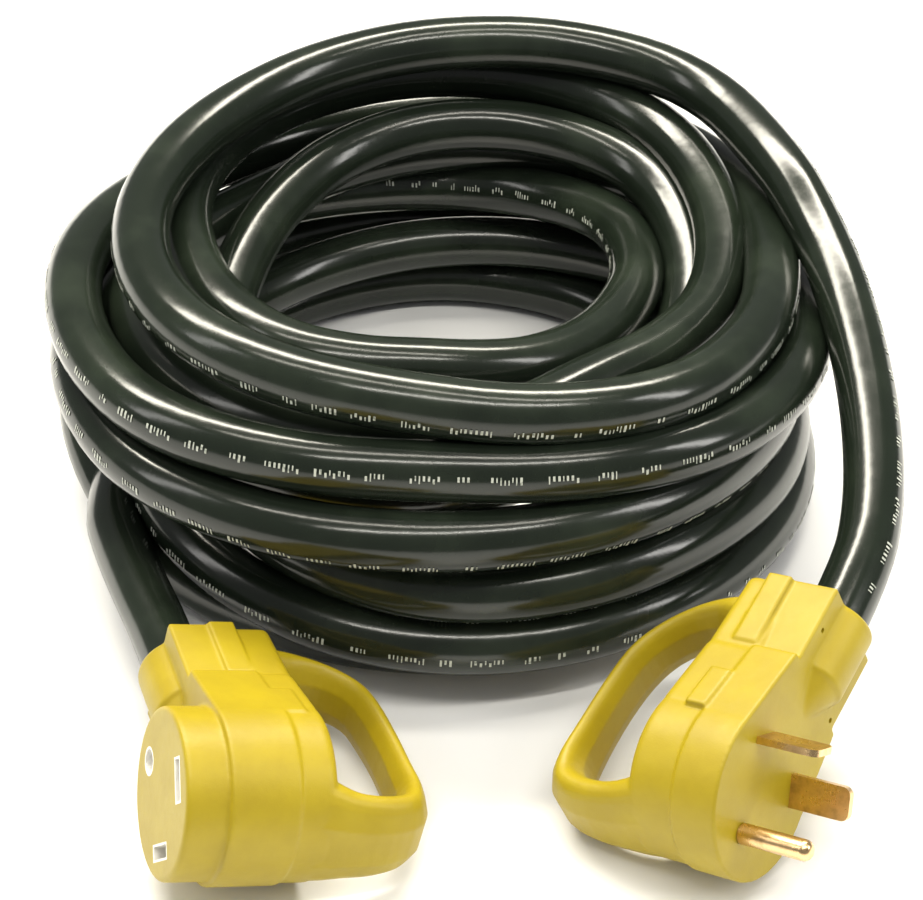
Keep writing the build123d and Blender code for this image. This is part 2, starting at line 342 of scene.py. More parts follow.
@dataclass(frozen=True)
class HardPlastic:
    """Hard moulded plastic of an insert or a core's insulation."""

    name: str
    colour: Colour
    shade: Colour
    roughness: float = 0.38

    def build(self) -> bpy.types.Material:
        """Make the material.

        Returns:
            The material.
        """
        graph = new_material(self.name)
        clouds = graph.noise(260.0, 3.0, 0.6)
        grain = graph.noise(3000.0, 2.0, 0.5)
        colour = graph.mix(clouds.ramp(0.40, 0.70), self.colour, self.shade)
        normal = graph.bump(grain, 0.15, 0.0002)
        rough = self.roughness + clouds * 0.1
        return graph.finish(Base_Color=colour, Roughness=rough, Normal=normal, IOR=1.5)


# ---- cord ----


@dataclass(frozen=True)
class HeadPlace:
    """Where a moulded head lies: its frame has x along it, y across it and z out of its face.

    The angles are in degrees. The neck ends at -neck_end_mm, and the jacket goes jacket_inside_mm in.
    """

    middle_mm: Place
    yaw: float
    pitch: float
    roll: float
    neck_end_mm: float
    jacket_inside_mm: float

    def matrix(self) -> Matrix:
        """Frame of the head.

        Returns:
            The matrix from the head's frame to the row frame, in metres.
        """
        turn = (Matrix.Rotation(math.radians(self.yaw), 4, "Z")
                @ Matrix.Rotation(math.radians(self.pitch), 4, "Y")
                @ Matrix.Rotation(math.radians(self.roll), 4, "X"))
        return Matrix.Translation(Vector(self.middle_mm) * MM) @ turn

    def at(self, x_mm: float, y_mm: float, z_mm: float) -> Vector:
        """Point in the head, given in mm, in the row frame."""
        return self.matrix() @ (Vector((x_mm, y_mm, z_mm)) * MM)


def ease(values: list[float], share: float) -> float:
    """Smooth value between the middle two of four.

    Args:
        values: four neighbouring values.
        share: 0 at the second, 1 at the third.

    Returns:
        The value there.
    """
    before, start, end, after = values
    rise, fall = (end - before) / 2, (after - start) / 2
    square, cube = share ** 2, share ** 3
    return ((2 * cube - 3 * square + 1) * start + (cube - 2 * square + share) * rise
            + (3 * square - 2 * cube) * end + (cube - square) * fall)


COIL_CENTRE_MM = Vector((-19.5, 148.0, 0.0))
STATIONS_PER_TURN = 8
# how far the cord's middle line lies behind a head's face, and how far it runs straight out of a neck
CORD_AXIS_DEPTH_MM = 5.0
STRAIGHT_OUTSIDE_NECK_MM = 14.0


def from_coil(place_mm: Place) -> Place:
    """A place given from the coil's centre, in the row frame."""
    return tuple(COIL_CENTRE_MM + Vector(place_mm))


PLUG_PLACE = HeadPlace(from_coil((84.1, -166.1, 27.55)), -120.8, 17.6, -75.2, 54.0, 22.0)
CONNECTOR_PLACE = HeadPlace(from_coil((-54.9, -167.7, 28.5)), -71.5, -2.75, 74.1, 51.5, 14.0)


@dataclass(frozen=True)
class Turn:
    """One turn of the coil: reach and height of its middle line, in mm, at eight stations.

    The stations go round from the right, over the back, the left and the front. The last turn is cut
    short where the cord leaves for the connector.
    """

    stations: tuple[tuple[float, float], ...]


@dataclass
class CordRoute:
    """The cord's middle line from inside the plug, round the coil, to inside the connector.

    Points nearer along the cord than own_reach, in points, don't push each other, others keep
    gap_share of a diameter between them, and ease_share of a bend's drift is evened out per round.
    """

    diameter_mm: float = 16.5
    points_per_station: int = 2
    settle_rounds: int = 260
    own_reach: float = 2.6
    gap_share: float = 0.985
    move_share: float = 0.9
    ease_share: float = 0.06
    plug_tail_mm: tuple = ((120, -83, 53), (122, -57, 60), (121, -32, 67), (118, -8, 74), (113, 15, 79),
                           (104, 38, 84))
    connector_tail_mm: tuple = ((-79, -85, 24), (-86, -66, 23), (-92, -46, 23))
    turns: tuple[Turn, ...] = (
        Turn(((118, 74), (117, 87), (97, 92), (83, 91), (81, 90), (85, 90), (88, 88), (109, 82))),
        Turn(((112, 75), (121, 68), (114, 60), (102, 62), (103, 73), (106, 72), (96, 71), (107, 66))),
        Turn(((110, 58), (108, 55), (98, 60), (84, 62), (87, 72), (84, 72), (79, 70), (68, 67))),
        Turn(((88, 61), (107, 71), (107, 76), (94, 74), (71, 72), (57, 71), (43, 69), (46, 64))),
        Turn(((61, 59), (93, 54), (101, 42), (92, 44), (96, 51), (104, 54), (105, 56), (106, 52))),
        Turn(((106, 41), (113, 38), (118, 43), (106, 42), (84, 50), (82, 49), (80, 48), (68, 48))),
        Turn(((74, 48), (98, 68), (92, 75), (72, 70), (66, 58), (86, 47), (102, 41), (104, 38))),
        Turn(((107, 26), (110, 24), (94, 27), (84, 27), (86, 34), (98, 30), (104, 23), (106, 20))),
        Turn(((108, 12), (112, 10), (110, 27), (104, 26), (102, 33), (96, 10), (96, 8.3), (98, 8.3))),
        Turn(((92, 10), (96, 8.3), (98, 8.3), (92, 8.3), (96, 18))),
    )

    def coil_points(self) -> list[Vector]:
        """Points of the coil's turns, eased from station to station.

        Returns:
            Points in mm from the coil's centre.
        """
        stations = [station for turn in self.turns for station in turn.stations]
        floor = self.diameter_mm / 2
        made = []
        for here in range(1, len(stations) - 1):
            after = min(here + 2, len(stations) - 1)
            around = [stations[here - 1], stations[here], stations[here + 1], stations[after]]
            for part in range(self.points_per_station):
                share = part / self.points_per_station
                reach, height = (ease([value[axis] for value in around], share) for axis in (0, 1))
                angle = (here + share) * 2 * math.pi / STATIONS_PER_TURN
                across = (reach * math.cos(angle), reach * math.sin(angle))
                made.append(Vector((*across, max(height, floor))))
        return made

    def settle(self, places: np.ndarray, held_start: int, held_end: int) -> np.ndarray:
        """Push turns that lie in each other apart, above the floor.

        Args:
            places: points of the whole route in mm.
            held_start: how many points at the start stay.
            held_end: how many points at the end stay.

        Returns:
            The settled points.
        """
        count = len(places)
        first = places.copy()
        free = np.ones((count, 1))
        free[:held_start] = 0
        free[count - held_end:] = 0
        index = np.concatenate([np.arange(count), np.arange(count - 1) + 0.5])
        apart = np.abs(index[:, None] - index[None]) > self.own_reach
        gap = self.gap_share * self.diameter_mm
        for _ in range(self.settle_rounds):
            spots = np.vstack([places, (places[:-1] + places[1:]) / 2])
            between = spots[:, None] - spots[None]
            distance = np.linalg.norm(between, axis=2) + 1e-9
            near = (distance < gap) & apart
            push = np.where(near, (gap - distance) / distance * 0.5, 0.0)[..., None] * between
            force = push.sum(1) / np.maximum(near.sum(1), 1)[:, None]
            moves = force[:count].copy()
            moves[:-1] += force[count:] * 0.5
            moves[1:] += force[count:] * 0.5
            eased = moves.copy()
            eased[1:-1] = 0.5 * moves[1:-1] + 0.25 * (moves[:-2] + moves[2:])
            places = places + eased * free * self.move_share
            drift = places - first
            drift[1:-1] += self.ease_share * (drift[:-2] + drift[2:] - 2 * drift[1:-1])
            places = np.where(free > 0, first + drift, places)
            places[:, 2] = np.maximum(places[:, 2], self.diameter_mm / 2)
        return places

    def points(self) -> list[Vector]:
        """Control points of the whole cord.

        Returns:
            Points in metres in the row frame.
        """
        start, end = (
            [place.at(-place.neck_end_mm + inward, 0, -CORD_AXIS_DEPTH_MM) / MM - COIL_CENTRE_MM
             for inward in (place.jacket_inside_mm, -STRAIGHT_OUTSIDE_NECK_MM)]
            for place in (PLUG_PLACE, CONNECTOR_PLACE)
        )
        line = (start + [Vector(point) for point in self.plug_tail_mm] + self.coil_points()
                + [Vector(point) for point in reversed(self.connector_tail_mm)] + end[::-1])
        held_start = len(self.plug_tail_mm) + 1
        held_end = len(self.connector_tail_mm) + 2
        settled = self.settle(np.array([tuple(point) for point in line]), held_start, held_end)
        return [(Vector(point) + COIL_CENTRE_MM) * MM for point in settled]


class Cord:
    """The jacketed cord."""

    RESOLUTION = 6
    ORDER = 3

    def __init__(self, route: CordRoute) -> None:
        """Keep the route."""
        self.route = route
        self.radius = route.diameter_mm / 2 * MM

    def line(self) -> list[Vector]:
        """Smooth middle line, read from the route's spline.

        Returns:
            Its points in metres.
        """
        bare = self._curve("cord_line", 0.0)
        mesh = bpy.data.meshes.new_from_object(bare)
        points = [vertex.co.copy() for vertex in mesh.vertices]
        bpy.data.meshes.remove(mesh)
        bpy.data.objects.remove(bare)
        return points

    def _curve(self, name: str, depth: float) -> bpy.types.Object:
        """One open spline through the route's control points.

        Args:
            name: name of the object.
            depth: bevel depth, or 0 for the bare line.

        Returns:
            The curve object.
        """
        data = bpy.data.curves.new(name, "CURVE")
        data.dimensions = "3D"
        data.resolution_u = self.RESOLUTION
        data.render_resolution_u = self.RESOLUTION
        data.bevel_depth = depth
        data.bevel_resolution = self.RESOLUTION
        data.use_fill_caps = depth > 0
        points = self.route.points()
        spline = data.splines.new("NURBS")
        spline.points.add(len(points) - 1)
        for spot, point in zip(spline.points, points):
            spot.co = (*point, 1.0)
        spline.order_u = self.ORDER
        spline.use_endpoint_u = True
        made = bpy.data.objects.new(name, data)
        bpy.context.scene.collection.objects.link(made)
        return made

    def build(self, jacket: bpy.types.Material, printed: bpy.types.Object) -> bpy.types.Object:
        """Args:
            jacket: material of the jacket.
            printed: the print on it; not used.

        Returns:
            The cord.
        """
        cord = self._curve("cord", self.radius)
        cord.data.materials.append(jacket)
        line = self.line()
        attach(cord, "root")
        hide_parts("cord_plug_tail", "cord_coil", "cord_connector_tail")
        return cord


@dataclass
class Legend:
    """Groups of small printed ticks along the cord, in place of lettering.

    bearings holds pairs: how many turns round the coil, and where on the jacket the print lies there,
    in degrees from straight outwards, over the top.
    """

    cord: Cord
    height_mm: float = 2.1
    tick_mm: tuple[float, float] = (0.32, 0.58)
    space_mm: float = 0.66
    lift_mm: float = 0.07
    thickness_mm: float = 0.04
    margin_mm: float = 30.0
    look_ahead_mm: float = 4.0
    letters: tuple[int, int] = (2, 10)
    gap_mm: tuple[float, float] = (3.0, 6.5)
    seed: int = 11
    bearings: tuple[tuple[float, float], ...] = (
        (-0.3, 36), (0.1, 30), (0.6, -8), (0.8, -8), (1.5, 22), (1.8, 20), (2.5, -60), (3.75, -150),
        (4.25, -210), (4.7, -385), (4.8, -385), (5.5, -430), (6.75, -430), (7.5, -356), (7.8, -358),
        (8.75, -425), (9.5, -400),
    )

    def _track(self) -> tuple[np.ndarray, np.ndarray, np.ndarray]:
        """Middle line of the cord with its distances and turns round the coil.

        Returns:
            Points in metres, distances in metres and turns.
        """
        line = np.array([tuple(point) for point in self.cord.line()])
        steps = np.linalg.norm(np.diff(line, axis=0), axis=1)
        along = np.concatenate([[0.0], np.cumsum(steps)])
        centre = np.array(tuple(COIL_CENTRE_MM * MM))
        turns = np.unwrap(np.arctan2(line[:, 1] - centre[1], line[:, 0] - centre[0])) / (2 * math.pi)
        return line, along, turns

    def _ticks(self, total_mm: float) -> list[tuple[float, float, float, float]]:
        """Lay the ticks out in groups.

        Args:
            total_mm: length that is printed.

        Returns:
            Start, width, low edge and high edge of each tick, in mm.
        """
        chance = np.random.default_rng(self.seed)
        ticks = []
        place = 0.0
        while place < total_mm:
            for _ in range(int(chance.integers(*self.letters))):
                width = self.tick_mm[int(chance.integers(0, 2))]
                low = -0.5 + 0.35 * float(chance.integers(0, 2))
                high = 0.5 - 0.35 * float(chance.integers(0, 2)) * (low < -0.4)
                ticks.append((place, width, low * self.height_mm, high * self.height_mm))
                place += width + self.space_mm
            place += float(chance.uniform(*self.gap_mm))
        return ticks

    def _corners(self) -> list[Place]:
        """Corners of all ticks: three along each of a tick's two edges.

        Returns:
            Points in metres, six for each tick.
        """
        line, along, turns = self._track()
        centre = np.array(tuple(COIL_CENTRE_MM * MM))
        stations = np.array(self.bearings, dtype=float)
        radius = self.cord.radius + self.lift_mm * MM
        margin, look_ahead = self.margin_mm * MM, self.look_ahead_mm * MM
        corners = []
        for start, width, low, high in self._ticks((along[-1] - 2 * margin) / MM):
            for edge in (start, start + width):
                distance = margin + edge * MM
                spot, ahead = (
                    np.array([np.interp(place, along, line[:, axis]) for axis in range(3)])
                    for place in (distance, distance + look_ahead)
                )
                tangent = (ahead - spot) / np.linalg.norm(ahead - spot)
                outward = spot - centre
                outward[2] = 0.0
                outward -= tangent * outward.dot(tangent)
                outward /= np.linalg.norm(outward)
                upward = np.cross(tangent, outward)
                upward *= math.copysign(1.0, upward[2])
                turn = np.interp(distance, along, turns)
                bearing = math.radians(np.interp(turn, stations[:, 0], stations[:, 1]))
                for share in (0.0, 0.5, 1.0):
                    angle = bearing + (low + (high - low) * share) * MM / radius
                    corner = spot + radius * (math.cos(angle) * outward + math.sin(angle) * upward)
                    corners.append(tuple(corner))
        return corners

    def build(self, ink: bpy.types.Material) -> bpy.types.Object:
        """Print the ticks on the jacket.

        Args:
            ink: material of the print.

        Returns:
            The print.
        """
        corners = self._corners()
        faces = []
        for first in range(0, len(corners), 6):
            faces.append((first, first + 3, first + 4, first + 1))
            faces.append((first + 1, first + 4, first + 5, first + 2))
        mesh = bpy.data.meshes.new("print")
        mesh.from_pydata(corners, [], faces)
        printed = bpy.data.objects.new("cord_print", mesh)
        bpy.context.scene.collection.objects.link(printed)
        bpy.ops.object.select_all(action="DESELECT")
        printed.select_set(True)
        bpy.context.view_layer.objects.active = printed
        body = printed.modifiers.new("thickness", "SOLIDIFY")
        body.thickness = self.thickness_mm * MM
        body.offset = 0.0
        bpy.ops.object.modifier_apply(modifier=body.name)
        bpy.ops.object.mode_set(mode="EDIT")
        bpy.ops.mesh.select_all(action="SELECT")
        bpy.ops.mesh.normals_make_consistent(inside=False)
        bpy.ops.object.mode_set(mode="OBJECT")
        mesh.materials.append(ink)
        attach(printed, "root")
        LOG.info("cord_print: %d ticks", len(faces) // 2)
        return printed


# ---- moulded heads ----


class Clay:
    """Closed shells in a head's frame, in mm, that are fused into one moulding and cut."""

    BEVEL_STEPS = 4
    BEVEL_ANGLE = 35.0
    BALL_SIDES = 28
    BALL_RINGS = 16

    def __init__(self) -> None:
        """Start with nothing."""
        self.shells: list[bpy.types.Object] = []
        self.cutters: list[bpy.types.Object] = []

    @staticmethod
    def _settle(shell: bpy.types.Object) -> bpy.types.Object:
        """Put the object's place and size into its mesh.

        Args:
            shell: the selected object, placed and sized in mm.

        Returns:
            The object, with a mesh in metres.
        """
        shell.scale = [value * MM for value in shell.scale]
        shell.location = [value * MM for value in shell.location]
        bpy.ops.object.transform_apply(location=True, rotation=True, scale=True)
        return shell

    @staticmethod
    def _apply(shell: bpy.types.Object, kind: str, **settings: object) -> None:
        """Add a modifier to the only selected object and apply it.

        Args:
            shell: the object.
            kind: the modifier's type.
            settings: its properties.
        """
        modifier = shell.modifiers.new(kind.lower(), kind)
        for key, value in settings.items():
            setattr(modifier, key, value)
        bpy.context.view_layer.objects.active = shell
        bpy.ops.object.modifier_apply(modifier=modifier.name)

    def _round(self, shell: bpy.types.Object, rounding: float) -> None:
        """Round the sharp edges of a shell.

        Args:
            shell: the shell.
            rounding: radius of its edges, or 0 to leave it.
        """
        if rounding > 0:
            self._apply(shell, "BEVEL", width=rounding * MM, segments=self.BEVEL_STEPS,
                        limit_method="ANGLE", angle_limit=math.radians(self.BEVEL_ANGLE))

    @staticmethod
    def _block(low: Place, high: Place) -> bpy.types.Object:
        """Bare block between two corners.

        Args:
            low: lower corner.
            high: upper corner.

        Returns:
            The block.
        """
        middle = [(a + b) / 2 for a, b in zip(low, high)]
        bpy.ops.mesh.primitive_cube_add(size=1.0, location=middle)
        block = bpy.context.object
        block.scale = [b - a for a, b in zip(low, high)]
        return block

    def box(self, low: Place, high: Place, rounding: float = 0.0, cut: bool = False) -> bpy.types.Object:
        """Block between two corners.

        Args:
            low: lower corner.
            high: upper corner.
            rounding: radius of its edges.
            cut: whether it is taken away.

        Returns:
            The block.
        """
        return self._keep(self._block(low, high), rounding, cut)

    def wedge(self, low: Place, high: Place, end_half_width: float, rounding: float) -> bpy.types.Object:
        """Block whose high-x end has its own half width.

        Args:
            low: lower corner.
            high: upper corner.
            end_half_width: half width at the high-x end.
            rounding: radius of its edges.

        Returns:
            The block.
        """
        block = self._block(low, high)
        bpy.ops.object.mode_set(mode="EDIT")
        bpy.ops.mesh.select_all(action="DESELECT")
        bpy.ops.object.mode_set(mode="OBJECT")
        for face in block.data.polygons:
            face.select = face.normal.x > 0.9
        bpy.ops.object.mode_set(mode="EDIT")
        share = 2 * end_half_width / (high[1] - low[1])
        bpy.ops.transform.resize(value=(1.0, share, 1.0))
        bpy.ops.object.mode_set(mode="OBJECT")
        return self._keep(block, rounding, False)

    def drum(self, radius: float, start: Place, axis: str, length: float,
             end_radius: float | None = None, rounding: float = 0.0, cut: bool = False,
             sides: int = 128) -> bpy.types.Object:
        """Round bar or cone.

        Args:
            radius: radius at its start.
            start: middle of its start.
            axis: x, y or z, along which it runs.
            length: how far it runs.
            end_radius: radius at its end, if it isn't the same.
            rounding: radius of its rims.
            cut: whether it is taken away.
            sides: how many sides its outline has.

        Returns:
            The bar.
        """
        turn = {"x": (0.0, math.pi / 2, 0.0), "y": (-math.pi / 2, 0.0, 0.0), "z": (0.0, 0.0, 0.0)}[axis]
        step = {"x": (1, 0, 0), "y": (0, 1, 0), "z": (0, 0, 1)}[axis]
        middle = [place + along * length / 2 for place, along in zip(start, step)]
        end = radius if end_radius is None else end_radius
        bpy.ops.mesh.primitive_cone_add(vertices=sides, radius1=radius, radius2=end, depth=length,
                                        location=middle, rotation=turn)
        return self._keep(bpy.context.object, rounding, cut)

    def _keep(self, shell: bpy.types.Object, rounding: float, cut: bool) -> bpy.types.Object:
        """Finish a shell and remember it.

        Args:
            shell: the new shell.
            rounding: radius of its edges.
            cut: whether it is taken away.

        Returns:
            The shell.
        """
        self._settle(shell)
        self._round(shell, rounding)
        (self.cutters if cut else self.shells).append(shell)
        return shell

    def band(self, stations: tuple["BandStation", ...], steps: int, flat: float) -> None:
        """Band that runs through stations: each piece is the hull of two flattened balls.

        Args:
            stations: where it runs, and its width and thickness there.
            steps: how many pieces lie between two stations.
            flat: share of its width that is flat.
        """
        rows = [station.row() for station in stations]
        rows = [rows[0]] + rows + [rows[-1]]
        fine = []
        for here in range(1, len(rows) - 2):
            for part in range(steps):
                around = rows[here - 1:here + 3]
                fine.append([ease([row[axis] for row in around], part / steps) for axis in range(4)])
        fine.append(rows[-1])
        for first, last in zip(fine, fine[1:]):
            ends = []
            for x, z, width, thickness in (first, last):
                bpy.ops.mesh.primitive_uv_sphere_add(
                    segments=self.BALL_SIDES, ring_count=self.BALL_RINGS, radius=0.5, location=(x, 0, z))
                bpy.context.object.scale = (thickness, width, thickness)
                ends.append(self._settle(bpy.context.object))
                ends.append(self.drum(thickness / 2, (x, -flat * width / 2, z), "y", flat * width,
                                      sides=self.BALL_SIDES))
                self.shells.pop()
            self._join(ends)
            bpy.ops.object.mode_set(mode="EDIT")
            bpy.ops.mesh.select_all(action="SELECT")
            bpy.ops.mesh.convex_hull()
            bpy.ops.object.mode_set(mode="OBJECT")
            self.shells.append(ends[0])

    @staticmethod
    def _join(parts: list[bpy.types.Object]) -> bpy.types.Object:
        """Join objects into the first of them.

        Args:
            parts: the objects.

        Returns:
            The first, which holds them all.
        """
        bpy.ops.object.select_all(action="DESELECT")
        for part in parts:
            part.select_set(True)
        bpy.context.view_layer.objects.active = parts[0]
        if len(parts) > 1:
            bpy.ops.object.join()
        return parts[0]

    def fuse(self, name: str, voxel: float, smoothing: int) -> bpy.types.Object:
        """Fuse the shells into one skin, ease it and take the cutters away.

        Args:
            name: name of the piece.
            voxel: size of the skin's squares.
            smoothing: rounds of easing.

        Returns:
            The piece, still in the head's frame.
        """
        body = self._join(self.shells)
        body.name = name
        self._apply(body, "REMESH", mode="VOXEL", voxel_size=voxel * MM, adaptivity=0.0)
        self._apply(body, "SMOOTH", factor=0.5, iterations=smoothing)
        if self.cutters:
            cutter = self._join(self.cutters)
            self._apply(body, "BOOLEAN", operation="DIFFERENCE", object=cutter, solver="EXACT")
            bpy.data.objects.remove(cutter)
        return body


@dataclass(frozen=True)
class BandStation:
    """One section of a strap handle: place along and behind the head, width and thickness, in mm."""

    x: float
    z: float
    width: float
    thickness: float

    def row(self) -> tuple[float, float, float, float]:
        """The numbers in order."""
        return (self.x, self.z, self.width, self.thickness)


# the stretch that both straps share, round the corner beyond the round part
STRAP_CORNER = (
    BandStation(-2.0, -52.5, 18.0, 6.4), BandStation(8.0, -51.9, 20.0, 7.2),
    BandStation(15.0, -48.8, 22.4, 9.4), BandStation(17.4, -41.5, 24.0, 10.6),
    BandStation(17.0, -33.0, 26.0, 11.4),
)


@dataclass
class Head:
    """What both moulded heads share. Sizes in mm, in the head's frame."""

    STRAP_STEPS: ClassVar[int] = 3
    STRAP_FLAT: ClassVar[float] = 0.4

    name: str
    place: HeadPlace
    rear: float
    parting: float
    flank: int
    disc_radius: float = 22.4
    neck_half_width: float = 14.25
    neck_length: float = 23.0
    neck_overlap: float = 4.0
    shoulder_half_width: float = 16.4
    strip_back: float = -7.0
    collar_radius: float = 10.3
    collar_straight: float = 21.0
    collar_taper: float = 12.0
    collar_end_radius: float = 4.6
    collar_overlap: float = 2.0
    face_rounding: float = 0.5
    back_rounding: float = 2.4
    step: float = 0.8
    voxel: float = 0.46
    strip_height: float = 2.3
    strip_width: float = 7.0
    strip_inside: float = 10.0
    pad_height: float = 1.6
    pad_half_length: float = 6.8
    pad_half_depth: float = 2.5
    pad_from_join: float = 18.0
    detail_rounding: float = 0.35
    shoulder_end: float = -6.0
    smoothing: int = 2
    crease: float = 50.0
    clay: Clay = field(default_factory=Clay)

    def slab(self, low: float, high: float, grow: float, rounding: float, stepped: bool) -> None:
        """One half of the body: neck, shoulders and round part.

        Args:
            low: its back.
            high: its front.
            grow: how far its outline stands out.
            rounding: radius of its rims.
            stepped: whether the neck meets the shoulders in a step.
        """
        join = self.neck_length - self.place.neck_end_mm
        touch = math.sqrt(self.disc_radius ** 2 - self.shoulder_end ** 2)
        neck, shoulder = self.neck_half_width + grow, self.shoulder_half_width + grow
        self.clay.drum(self.disc_radius + grow, (0, 0, low), "z", high - low, rounding=rounding)
        low_neck = (-self.place.neck_end_mm, -neck, low)
        high_neck = (join + self.neck_overlap, neck, high)
        self.clay.wedge(low_neck, high_neck, neck if stepped else shoulder, rounding)
        high_shoulder = (self.shoulder_end, shoulder, high)
        self.clay.wedge((join, -shoulder, low), high_shoulder, touch + grow, rounding)

    def halves(self) -> None:
        """Front half, which stands out a little, and rounded rear half."""
        self.slab(-self.parting, 0.0, self.step, self.face_rounding, True)
        self.slab(-self.rear, -self.parting + self.back_rounding, 0.0, self.back_rounding, False)

    def collar(self) -> None:
        """Sleeve over the cord, which sinks into the face."""
        start, depth = -self.place.neck_end_mm, -CORD_AXIS_DEPTH_MM
        self.clay.drum(self.collar_radius, (start, 0, depth), "x", self.collar_straight, rounding=1.4)
        taper_start = (start + self.collar_straight - self.collar_overlap, 0, depth)
        self.clay.drum(self.collar_radius, taper_start, "x", self.collar_taper,
                       end_radius=self.collar_end_radius, rounding=0.8)

    def flank_details(self) -> None:
        """Raised strip along the neck's flank and the pad below it."""
        end, side = -self.place.neck_end_mm, self.flank
        join = self.neck_length + end
        low = -self.parting + self.strip_back
        reach = self.neck_half_width + self.strip_height
        inside = side * self.strip_inside
        low_strip = (end, min(inside, side * reach), low)
        high_strip = (join - 1.0, max(inside, side * reach), low + self.strip_width)
        self.clay.box(low_strip, high_strip, self.detail_rounding)
        slope = (self.disc_radius - 0.8 - self.shoulder_half_width) / (self.shoulder_end - join)
        flank = self.shoulder_half_width + self.pad_from_join * slope
        half_length, half_depth = self.pad_half_length, self.pad_half_depth
        pad = self.clay.box((-half_length, -half_depth, -self.parting - 5.6),
                            (half_length, half_depth, -self.parting + 0.2), self.detail_rounding)
        pad.data.transform(Matrix.Rotation(side * math.atan(slope), 4, "Z"))
        across = side * (flank - half_depth + self.pad_height)
        pad.data.transform(Matrix.Translation(Vector((join + self.pad_from_join, across, 0)) * MM))

    def finish(self, vinyl: bpy.types.Material, node: str) -> bpy.types.Object:
        """Args:
            vinyl: its material.
            node: the carried-over piece that it replaces.

        Returns:
            The moulding.
        """
        body = self.clay.fuse(self.name, self.voxel, self.smoothing)
        body.data.transform(self.place.matrix())
        body.data.materials.clear()
        body.data.materials.append(vinyl)
        bpy.ops.object.select_all(action="DESELECT")
        body.select_set(True)
        bpy.context.view_layer.objects.active = body
        bpy.ops.object.shade_smooth_by_angle(angle=math.radians(self.crease))
        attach(body, "root")
        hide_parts(node)
        LOG.info("%s: %d faces", self.name, len(body.data.polygons))
        return body


class PlugHead(Head):
    """The plug's moulding, with two small dimples in the neck's face."""

    DIMPLE_RADIUS = 0.75
    DIMPLE_ACROSS = 11.9
    DIMPLE_DEPTH = 1.6

    def build(self, vinyl: bpy.types.Material) -> bpy.types.Object:
        """Model the moulding.

        Args:
            vinyl: its material.

        Returns:
            The moulding.
        """
        self.halves()
        self.collar()
        self.flank_details()
        self.clay.band((
            BandStation(-44.0, -14.0, 25.0, 16.0), BandStation(-46.0, -25.0, 24.0, 12.0),
            BandStation(-45.8, -33.0, 20.0, 8.6), BandStation(-42.4, -40.4, 17.5, 6.8),
            BandStation(-35.8, -46.8, 16.8, 6.2), BandStation(-27.0, -50.8, 17.6, 6.2),
            BandStation(-15.0, -52.3, 17.4, 6.2), *STRAP_CORNER,
            BandStation(15.0, -25.5, 30.0, 14.0), BandStation(11.0, -18.0, 34.0, 18.0),
        ), self.STRAP_STEPS, self.STRAP_FLAT)
        for x, side in ((-42.5, self.flank), (-31.5, -self.flank)):
            self.clay.drum(self.DIMPLE_RADIUS, (x, side * self.DIMPLE_ACROSS, -self.DIMPLE_DEPTH), "z",
                           4.0, cut=True, sides=20)
        return self.finish(vinyl, "plug_moulding")


class ConnectorHead(Head):
    """The connector's moulding, with its short barrel and three openings."""

    BARREL_RADIUS = 21.6
    BARREL_ROOT = -3.0
    BARREL_LENGTH = 14.0
    OPENING_FLOOR = -8.3
    OPENING_TOP = 12.5
    SLOT_HALF_LENGTH = 5.7
    SLOT_HALF_WIDTH = 2.2
    SLOT_PLACE = (8.6, 11.3)
    SLOT_SLANT = 45.0
    GROUND_RADIUS = 3.7
    GROUND_X = -12.8

    def build(self, vinyl: bpy.types.Material) -> bpy.types.Object:
        """Model the moulding.

        Args:
            vinyl: its material.

        Returns:
            The moulding.
        """
        self.halves()
        barrel_root = (0, 0, self.BARREL_ROOT)
        self.clay.drum(self.BARREL_RADIUS, barrel_root, "z", self.BARREL_LENGTH, rounding=1.1)
        self.collar()
        self.flank_details()
        self.clay.band((
            BandStation(-41.5, -14.0, 25.0, 16.0), BandStation(-43.5, -26.0, 24.0, 12.0),
            BandStation(-44.0, -35.0, 20.0, 8.6), BandStation(-41.5, -43.0, 17.5, 6.8),
            BandStation(-35.5, -49.3, 16.8, 6.2), BandStation(-27.0, -51.6, 17.6, 6.2),
            BandStation(-14.0, -52.6, 17.4, 6.2), *STRAP_CORNER,
            BandStation(15.0, -26.5, 30.0, 14.0), BandStation(11.0, -19.0, 34.0, 18.0),
        ), self.STRAP_STEPS, self.STRAP_FLAT)
        half_length, half_width = self.SLOT_HALF_LENGTH, self.SLOT_HALF_WIDTH
        along, across = self.SLOT_PLACE
        for side in (-1, 1):
            slot = self.clay.box((-half_length, -half_width, self.OPENING_FLOOR),
                                 (half_length, half_width, self.OPENING_TOP), cut=True)
            slot.data.transform(Matrix.Rotation(math.radians(-self.SLOT_SLANT * side), 4, "Z"))
            slot.data.transform(Matrix.Translation(Vector((along, across * side, 0.0)) * MM))
        self.clay.drum(self.GROUND_RADIUS, (self.GROUND_X, 0, self.OPENING_FLOOR), "z",
                       self.OPENING_TOP - self.OPENING_FLOOR, cut=True, sides=64)
        return self.finish(vinyl, "connector_moulding")


# ---- studio ----


